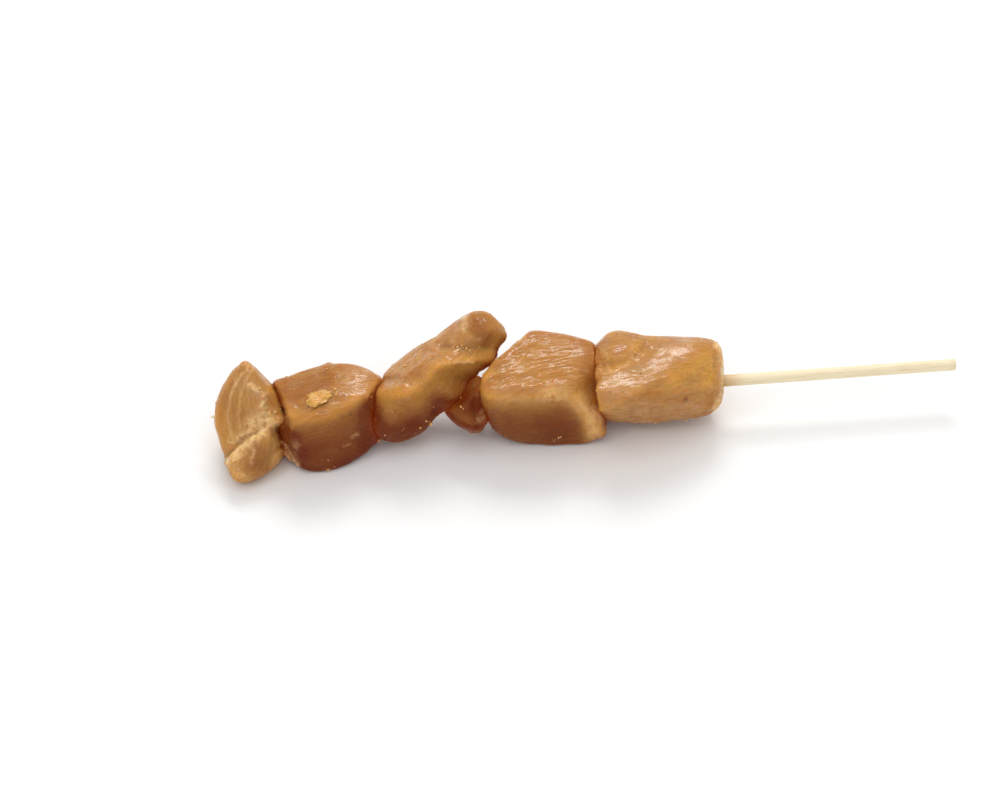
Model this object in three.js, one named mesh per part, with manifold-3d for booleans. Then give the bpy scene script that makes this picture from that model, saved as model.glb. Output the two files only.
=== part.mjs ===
// A souvlaki skewer: six chunks of raw marinated meat threaded on a round bamboo stick, lying on a table.
//
// Units are millimetres, +Z up. +X runs along the stick from its point to its blunt end, and +Y points away
// from the side that is seen. The origin is under the middle of the whole, on the table.
//
// Every chunk is described as a cook sees it, standing in front of the skewer and looking down on it. A place
// is given by three lengths: x along the stick from its point, rise up the view and near towards the eye, both
// from the stick's axis. A direction is a clock angle on the view, from +x anticlockwise, and a lean towards
// the eye. A chunk is a few lumps that flow into each other. A lump is what a knife leaves: a body bounded by
// flat cuts, each with its direction and its reach from the lump's heart, with soft edges. Strokes then press
// creases into that body or raise ridges on it, and neighbouring chunks are pressed flat against each other.

import * as THREE from 'three';
import { mergeVertices } from 'three/addons/utils/BufferGeometryUtils.js';
import Module from 'manifold-3d';

const wasm = await Module();
wasm.setup();

// The stick.
const STICK_LENGTH = 250;
const STICK_RADIUS = 2;
const POINT_LENGTH = 14;
const POINT_RADIUS = 0.35;
const STICK_SIDES = 24;
const BLUNT_BEVEL = 0.25;

// How the skewer lies.
const AXIS_HEIGHT = 14.5;
const VIEW_ELEVATION = THREE.MathUtils.degToRad(46);

// How the meat is made.
const GAP = 0.3;
const EDGE_SOFTNESS = 1.8;
const SPHERE_DETAIL = 9;
const SEARCH_RADIUS = 60;
const SEARCH_STEPS = 90;
const SEARCH_STRIDE = 0.6;

const RISE = new THREE.Vector3(0, Math.sin(VIEW_ELEVATION), Math.cos(VIEW_ELEVATION));
const NEAR = new THREE.Vector3(0, -Math.cos(VIEW_ELEVATION), Math.sin(VIEW_ELEVATION));

function place(x, rise, near) {
  return new THREE.Vector3(x, 0, 0).addScaledVector(RISE, rise).addScaledVector(NEAR, near);
}

function direction(clock, lean) {
  const c = THREE.MathUtils.degToRad(clock);
  const l = THREE.MathUtils.degToRad(lean);
  return place(Math.cos(l) * Math.cos(c), Math.cos(l) * Math.sin(c), Math.sin(l));
}

const cut = (clock, lean, reach) => ({ normal: direction(clock, lean), reach });
const lump = (x, rise, near, cuts, soft = EDGE_SOFTNESS) => ({ heart: place(x, rise, near), cuts, soft });
const crease = (x1, rise1, x2, rise2, width, depth) => ({ x1, rise1, x2, rise2, width, depth });
const ridge = (x1, rise1, x2, rise2, width, height) => crease(x1, rise1, x2, rise2, width, -height);

// The flat faces at which two chunks press on each other. Each direction points from the first to the second.
const PRESSES = [
  { pair: ['chunk_1_moon', 'chunk_2_block'], at: place(23.4, 0, 5), normal: direction(5, -12) },
  { pair: ['chunk_2_block', 'chunk_3_slab'], at: place(53.2, 0, 9), normal: direction(-11, 20) },
  { pair: ['chunk_3_slab', 'chunk_4_scrap'], at: place(82, 1, 4), normal: direction(-44, -22) },
  { pair: ['chunk_3_slab', 'chunk_5_cube'], at: place(95, 12, 6), normal: direction(-42, 18) },
  { pair: ['chunk_4_scrap', 'chunk_5_cube'], at: place(90.4, 0, 6), normal: direction(2, 18) },
  { pair: ['chunk_5_cube', 'chunk_6_roll'], at: place(128.4, 0, 6), normal: direction(3, 12) },
];

const CHUNKS = [
  {
    name: 'chunk_1_moon', heart: place(12.5, -3, 0), stretch: [1, 1.6, 1], blend: 0.6, color: 0xbc8a4e,
    lumps: [
      lump(12.5, 1, 0, [
        cut(120, 0, 16.4), cut(137, 5, 12.9), cut(154, 5, 11.9), cut(172, 0, 11.9), cut(-163, 0, 13),
        cut(10, 0, 11.4), cut(24, 4, 10.4), cut(36, 0, 11.4), cut(-56, 0, 9.4),
        cut(160, 68, 9), cut(14, 50, 10.2), cut(-125, 66, 8.4),
        cut(180, -50, 10.5), cut(60, -55, 12), cut(-60, -45, 12), cut(0, -90, 13),
      ], 1.1),
      lump(13.5, -13.5, 2, [
        cut(-165, 0, 10.4), cut(-146, 0, 10.8), cut(-84, 0, 8.8), cut(-66, 0, 8), cut(-43, 0, 8.6),
        cut(3, 0, 9), cut(127, 8, 5.8), cut(60, 0, 9.6),
        cut(-40, 62, 8), cut(135, 62, 8.2), cut(0, -90, 12), cut(180, -50, 9.6), cut(60, -55, 10.6),
      ], 1.1),
    ],
    strokes: [
      crease(20.4, -10.2, 17.6, -17, 1.6, 1.2),
      ridge(22, -2, 23.2, -2.4, 2.2, 1.4),
    ],
  },
  {
    name: 'chunk_2_block', heart: place(38, -2, 0), stretch: [1.2, 1.1, 1], blend: 1, color: 0xa8702f,
    lumps: [
      lump(38, -2, 0, [
        cut(107, 0, 18.2), cut(72, 0, 19.6), cut(98, 42, 12.4), cut(50, 30, 20),
        cut(-92, 46, 14.4), cut(-50, 44, 13.6), cut(-152, 20, 18.6), cut(-86, 0, 20.2), cut(-62, 0, 19),
        cut(110, -35, 16), cut(70, -50, 14.5), cut(-120, -40, 16), cut(-50, -35, 17), cut(30, -20, 21),
      ], 1.4),
    ],
    strokes: [
      ridge(33.4, 2.6, 38.6, 5.2, 2.2, 1.5),
      crease(23, -9, 25.5, -17, 2, 2),
    ],
  },
  {
    name: 'chunk_3_slab', heart: place(76, 6, 0), stretch: [1.5, 1.2, 0.9], blend: 1.5, color: 0xb0743a,
    lumps: [
      lump(63, -1, 0, [
        cut(141, 0, 10), cut(176, 0, 12.8), cut(-152, 0, 13.4), cut(-126, 0, 14.2), cut(-94, 0, 13.6),
        cut(-54, 0, 11), cut(30, 0, 18), cut(120, 30, 11.6), cut(-66, 52, 9.6), cut(170, 40, 13),
        cut(180, -45, 11), cut(120, -45, 12), cut(-70, -45, 13.5), cut(0, -90, 12),
      ]),
      lump(80, 11.5, 0, [
        cut(119, 0, 10.8), cut(-48, 0, 10.2), cut(36, 0, 20), cut(216, 0, 21),
        cut(118, 38, 10), cut(-54, 48, 9), cut(118, -45, 11), cut(-50, -45, 11), cut(0, -90, 11),
      ]),
      lump(90.4, 19.8, 0.5, [
        cut(88, 0, 9.4), cut(133, 0, 9.6), cut(-142, 0, 14), cut(48, 0, 8.6), cut(15, 0, 8.4),
        cut(-50, 0, 9), cut(110, 50, 8.8), cut(0, 44, 8.6), cut(-70, 46, 8.8),
        cut(0, -90, 9), cut(90, -45, 10), cut(0, -45, 10),
      ]),
      lump(97.4, 17.4, -5, [
        cut(75, 0, 6), cut(5, 0, 7), cut(-60, 0, 6.5), cut(0, 60, 6), cut(0, -90, 7), cut(180, 0, 8),
      ]),
    ],
    strokes: [
      ridge(56, 4.2, 68.6, 3.8, 2.4, 1.1),
      crease(58, 7.4, 69.5, 6.2, 2.2, 1.1),
      ridge(70.8, 5.9, 75.2, 11, 2, 1),
      ridge(75.2, 11, 87, 11.4, 2.2, 0.9),
      ridge(87, 11.4, 94, 14, 2, 1),
      crease(71, 3, 74.4, -4, 2.8, 1.6),
      crease(76, 6.6, 88, 7.2, 2.8, 1.3),
      crease(78, 17.8, 86, 16.6, 1.9, 2),
      crease(86, 16.6, 96, 16.4, 1.9, 2.6),
      crease(80.5, 19.6, 83.4, 24.6, 1.8, 0.9),
    ],
  },
  {
    name: 'chunk_4_scrap', heart: place(85.2, -3, 0), stretch: [0.9, 1.1, 1], blend: 1, color: 0x9c6f3c,
    lumps: [
      lump(85, -3, 0, [
        cut(-132, 0, 7), cut(-98, 0, 8.6), cut(-24, 0, 7.6), cut(16, 0, 8), cut(95, 0, 11),
        cut(150, 0, 9.5), cut(168, 48, 9), cut(-10, 55, 8.6),
        cut(0, -90, 11), cut(-90, -40, 11), cut(90, -40, 11), cut(180, -20, 9),
      ], 1.4),
    ],
    strokes: [],
  },
  {
    name: 'chunk_5_cube', heart: place(110, 1, 0), stretch: [1.25, 1.1, 1], blend: 1, color: 0xc09050,
    lumps: [
      lump(110, 1.5, 0, [
        cut(72, 0, 20), cut(127, 0, 20), cut(-174, 0, 21.4),
        cut(-138, 0, 21.6), cut(-101, 0, 19.6), cut(-84, 0, 22.4), cut(-50, 0, 30.5), cut(-28, 0, 28),
        cut(14, 0, 22), cut(92, 50, 13.8), cut(-95, 38, 13.8), cut(-5, 45, 18.4),
        cut(90, -40, 17), cut(60, -30, 20), cut(130, -35, 19), cut(-130, -40, 19), cut(-50, -40, 21),
      ], 1.2),
    ],
    strokes: [],
  },
  {
    name: 'chunk_6_roll', heart: place(149, 1, 0), stretch: [1.5, 1.1, 1], blend: 1.6, color: 0xc58c48,
    lumps: [
      lump(150, 2, 0, [
        cut(84, 0, 15.2), cut(148, 0, 23.6), cut(-120, 0, 20.4), cut(-88, 0, 15), cut(-44, 0, 21.8),
        cut(-2, 0, 21.2), cut(32, 0, 24), cut(90, 42, 13.8), cut(-90, 30, 14.6), cut(0, 60, 17),
        cut(90, -40, 14.5), cut(-90, -45, 14), cut(0, -90, 14), cut(0, -40, 21),
      ]),
      lump(135, 12, 1, [
        cut(80, 0, 8), cut(140, 0, 6.4), cut(172, 0, 5.8), cut(30, 0, 7.6), cut(100, 55, 7.2),
        cut(-90, 30, 8), cut(0, -90, 9),
      ]),
    ],
    strokes: [
      crease(128, 3, 139, 4.4, 2.4, 1),
      crease(139, 4.4, 147, 9, 2.4, 0.8),
      ridge(128, -6.4, 137, -3, 1.9, 1),
      crease(140, -5.4, 150, -5.2, 1.8, 0.7),
    ],
  },
];

// How far a point is outside a lump, in millimetres: the farthest of its cuts, softened where they meet.
function outsideLump(point, { heart, cuts, soft }) {
  const beyond = cuts.map(({ normal, reach }) => normal.dot(point) - normal.dot(heart) - reach);
  const most = Math.max(...beyond);
  const sum = beyond.reduce((total, d) => total + Math.exp((d - most) / soft), 0);
  return most + soft * Math.log(sum);
}

// How much a stroke lowers the surface at a point: most on its line, fading across it, and only on the side
// that is seen.
function strokeDepth(point, heart, { x1, rise1, x2, rise2, width, depth }) {
  const x = point.x - x1;
  const rise = point.dot(RISE) - rise1;
  const [dx, dr] = [x2 - x1, rise2 - rise1];
  const share = THREE.MathUtils.clamp((x * dx + rise * dr) / (dx * dx + dr * dr), 0, 1);
  const away = Math.hypot(x - share * dx, rise - share * dr) / width;
  const facing = point.dot(NEAR) - heart.dot(NEAR);
  return depth * Math.exp(-away * away) * THREE.MathUtils.smoothstep(facing, -2, 2);
}

// How far a point is outside a whole chunk, before its neighbours press it flat.
function outsideChunk(point, chunk) {
  const apart = chunk.lumps.map((l) => outsideLump(point, l));
  const least = Math.min(...apart);
  const joined = apart.reduce((total, d) => total + Math.exp((least - d) / chunk.blend), 0);
  let d = least - chunk.blend * Math.log(joined);
  for (const stroke of chunk.strokes) d += strokeDepth(point, chunk.heart, stroke);
  return d;
}

// A stretched ball round the chunk's heart, each of its points slid along its own ray to the surface.
function chunkGeometry(chunk) {
  const geometry = new THREE.IcosahedronGeometry(1, SPHERE_DETAIL);
  const ball = geometry.getAttribute('position');
  const ray = new THREE.Vector3();
  const point = new THREE.Vector3();
  for (let i = 0; i < ball.count; i++) {
    const [along, up, deep] = chunk.stretch;
    ray.copy(place(ball.getX(i) * along, ball.getY(i) * up, ball.getZ(i) * deep)).normalize();
    let outer = SEARCH_RADIUS;
    for (let step = 0; step < SEARCH_STEPS; step++) {
      point.copy(chunk.heart).addScaledVector(ray, outer);
      outer -= outsideChunk(point, chunk) * SEARCH_STRIDE;
    }
    ball.setXYZ(i, point.x, point.y, point.z);
  }
  return geometry;
}

function solidOf(geometry) {
  const bare = new THREE.BufferGeometry();
  bare.setAttribute('position', geometry.getAttribute('position'));
  if (geometry.index) bare.setIndex(geometry.index);
  const merged = mergeVertices(bare, 1e-3);
  return new wasm.Manifold(new wasm.Mesh({
    numProp: 3,
    vertProperties: merged.getAttribute('position').array,
    triVerts: new Uint32Array(merged.index.array),
  }));
}

function geometryOf(solid) {
  const { vertProperties, triVerts } = solid.getMesh();
  const geometry = new THREE.BufferGeometry();
  geometry.setAttribute('position', new THREE.BufferAttribute(vertProperties, 3));
  geometry.setIndex(new THREE.BufferAttribute(triVerts, 1));
  geometry.computeVertexNormals();
  return geometry;
}

// A round bar along +X from its point, grown by a clearance.
function stickGeometry(clearance = 0) {
  const r = STICK_RADIUS + clearance;
  const profile = [
    [0, -clearance], [POINT_RADIUS + clearance, -clearance], [r, POINT_LENGTH],
    [r, STICK_LENGTH - BLUNT_BEVEL], [r - BLUNT_BEVEL, STICK_LENGTH], [0, STICK_LENGTH],
  ].map(([radius, x]) => new THREE.Vector2(radius, x));
  return new THREE.LatheGeometry(profile, STICK_SIDES).rotateZ(-Math.PI / 2);
}

function tableSolid() {
  const size = 2 * STICK_LENGTH;
  return solidOf(new THREE.BoxGeometry(size, size, size).translate(0, 0, -AXIS_HEIGHT - size / 2));
}

// The space that a chunk's neighbour presses it out of: a block beyond their shared face, and half the gap.
function pressSolid({ pair, at, normal }, name) {
  const size = 2 * SEARCH_RADIUS;
  const outward = pair[0] === name ? normal : normal.clone().negate();
  const turn = new THREE.Quaternion().setFromUnitVectors(new THREE.Vector3(0, 0, 1), outward);
  const block = new THREE.BoxGeometry(size, size, size).translate(0, 0, (size - GAP) / 2);
  return solidOf(block.applyQuaternion(turn).translate(...at));
}

function chunkSolid(chunk) {
  let solid = solidOf(chunkGeometry(chunk));
  for (const press of PRESSES.filter(({ pair }) => pair.includes(chunk.name))) {
    solid = solid.subtract(pressSolid(press, chunk.name));
  }
  return solid;
}

function buildSkewer() {
  const skewer = new THREE.Group();
  skewer.name = 'souvlaki_skewer';
  const bamboo = new THREE.MeshStandardMaterial({ color: 0xe8d3a0, roughness: 0.6, metalness: 0 });
  const stick = new THREE.Mesh(stickGeometry(), bamboo);
  stick.name = 'stick';
  skewer.add(stick);

  const bore = solidOf(stickGeometry(GAP));
  const table = tableSolid();
  for (const chunk of CHUNKS) {
    const solid = chunkSolid(chunk).subtract(bore).subtract(table);
    const meat = new THREE.MeshStandardMaterial({ color: chunk.color, roughness: 0.3, metalness: 0 });
    const mesh = new THREE.Mesh(geometryOf(solid), meat);
    mesh.name = chunk.name;
    skewer.add(mesh);
  }

  // The origin goes under the middle of the whole, on the table.
  const box = new THREE.Box3().setFromObject(skewer);
  const middle = box.getCenter(new THREE.Vector3());
  skewer.position.set(-middle.x, -middle.y, AXIS_HEIGHT);
  return skewer;
}

export default buildSkewer();
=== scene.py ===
"""A souvlaki skewer: chunks of raw marinated meat on a round bamboo stick.

Every place on the meat is given as a cook sees it, standing in front of the skewer and looking down on it:
x along the stick from its point, rise up the view and near towards the eye, in millimetres from the axis of
the stick.
"""

import math
import random
from collections import namedtuple

import bmesh
import bpy
import numpy as np
from bpy.props import FloatProperty, FloatVectorProperty, IntProperty, PointerProperty
from mathutils import Euler, Matrix, Vector, noise
from mathutils.bvhtree import BVHTree


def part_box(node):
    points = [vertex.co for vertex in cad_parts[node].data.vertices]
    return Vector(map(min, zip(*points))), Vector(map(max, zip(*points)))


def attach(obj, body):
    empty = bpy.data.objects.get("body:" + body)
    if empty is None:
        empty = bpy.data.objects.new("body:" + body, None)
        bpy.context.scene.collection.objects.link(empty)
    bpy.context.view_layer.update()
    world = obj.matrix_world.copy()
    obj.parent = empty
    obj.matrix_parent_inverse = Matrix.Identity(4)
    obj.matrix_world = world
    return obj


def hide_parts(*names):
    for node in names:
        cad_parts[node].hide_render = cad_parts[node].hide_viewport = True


bl_info = {
    "name": "Souvlaki Skewer",
    "version": (1, 0, 0),
    "blender": (4, 5, 0),
    "location": "View3D > Sidebar > Skewer",
    "description": "Builds a marinated meat skewer, lit and framed on a pale table",
    "category": "Object",
}

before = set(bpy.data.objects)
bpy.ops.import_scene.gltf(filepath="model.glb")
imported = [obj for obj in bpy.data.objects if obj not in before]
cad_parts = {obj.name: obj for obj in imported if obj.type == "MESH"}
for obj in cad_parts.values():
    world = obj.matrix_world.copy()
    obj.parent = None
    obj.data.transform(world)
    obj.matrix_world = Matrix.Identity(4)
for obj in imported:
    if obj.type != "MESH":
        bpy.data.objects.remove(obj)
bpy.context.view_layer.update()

MM = 0.001
STICK_LOW, STICK_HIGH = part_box("stick")
STICK_LENGTH = (STICK_HIGH.x - STICK_LOW.x) / MM
STICK_RADIUS = (STICK_HIGH.z - STICK_LOW.z) / 2 / MM
TIP = Vector((STICK_LOW.x, (STICK_LOW.y + STICK_HIGH.y) / 2, (STICK_LOW.z + STICK_HIGH.z) / 2))

# What stays open where things touch, in millimetres: between meat and stick, and between two chunks.
STICK_PLAY = 0.03
SEAM_PLAY = 0.06

# Meat within HUGGED of the stick's axis is drawn in to the stick, and less and less of it out to HUG_REACH.
HUGGED = STICK_RADIUS + 0.35
HUG_REACH = STICK_RADIUS + 1.8

# The cook's view: its height over the table, and its two directions besides the stick's own.
VIEW_ELEVATION = math.radians(46)
RISE = Vector((0, math.sin(VIEW_ELEVATION), math.cos(VIEW_ELEVATION)))
NEAR = Vector((0, -math.cos(VIEW_ELEVATION), math.sin(VIEW_ELEVATION)))
VIEW_AXES = np.array([(1, 0, 0), RISE, NEAR])

# A distance from the stick that is nearer to the eye than any of the meat, in millimetres.
CLEAR_OF_MEAT = 60


def place(x, rise, near):
    """A point of the cook's view, in metres in the frame."""
    return TIP + (Vector((x, 0, 0)) + RISE * rise + NEAR * near) * MM


def seen(points):
    """The view's x, rise and near of an array of points, in millimetres."""
    return (points - np.array(TIP)) @ VIEW_AXES.T / MM


# ----------------------------
# Marks on the meat. Each follows a route over the view, and is on the front unless it is turned to the back.

Mark = namedtuple("Mark", "layer route width amount lipped back")


def groove(width, depth, *route, back=False):
    """A soft valley along the route."""
    return Mark("relief", route, width, -depth, False, back)


def ridge(width, height, *route, back=False):
    """A soft ridge along the route, or a mound where the route is one point."""
    return Mark("relief", route, width, height, False, back)


def lip(width, height, *route, back=False):
    """A step up to the left of the route, which fades out over the width."""
    return Mark("relief", route, width, height, True, back)


def stain(layer, width, strength, *route, back=False):
    """A soft patch of a colour layer along the route. A negative strength takes from the layer."""
    return Mark(layer, route, width, strength, False, back)


# The colour layers: fat is creamy fat and, in a few places, a painted highlight; skin is the pinkish
# membrane and also a painted sheen; the darkening layer is deep marinade and, mostly, painted shade; amber
# is a painted glow where light comes through a thin edge; grit is where grains of garlic stick, and film is
# where the oil is thick.
LAYERS = ("fat_and_highlight", "skin", "marinade_and_shade", "amber", "grit", "film")

# One entry per chunk of meat. fibre is the clock and lean of the muscle's fibres, bend how much they curve,
# and tone how deep the marinade has coloured the chunk and how much painted shade its sides that turn to the
# table take. give is how much of the way a chunk goes to meet another.
Chunk = namedtuple("Chunk", "node seed fibre bend tone give marks")

# Where a row of crushed garlic is stuck to the first chunk.
GARLIC_CLUMPS = (
    (13.9, 9.3), (14.9, 8.3), (16.4, 7.7), (17.3, 6.5), (18.5, 6.0), (17.0, 4.8), (17.9, 3.4), (16.9, 2.2),
    (18.3, 1.2), (17.3, 0.1), (18.9, -0.4))

# Most of the darkening stains below are painted shade, in creases, in pockets, on sides turned from the light
# and between chunks; the amber stains are painted glow, and some pale stains of fat and skin are painted
# highlights and sheen.
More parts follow.
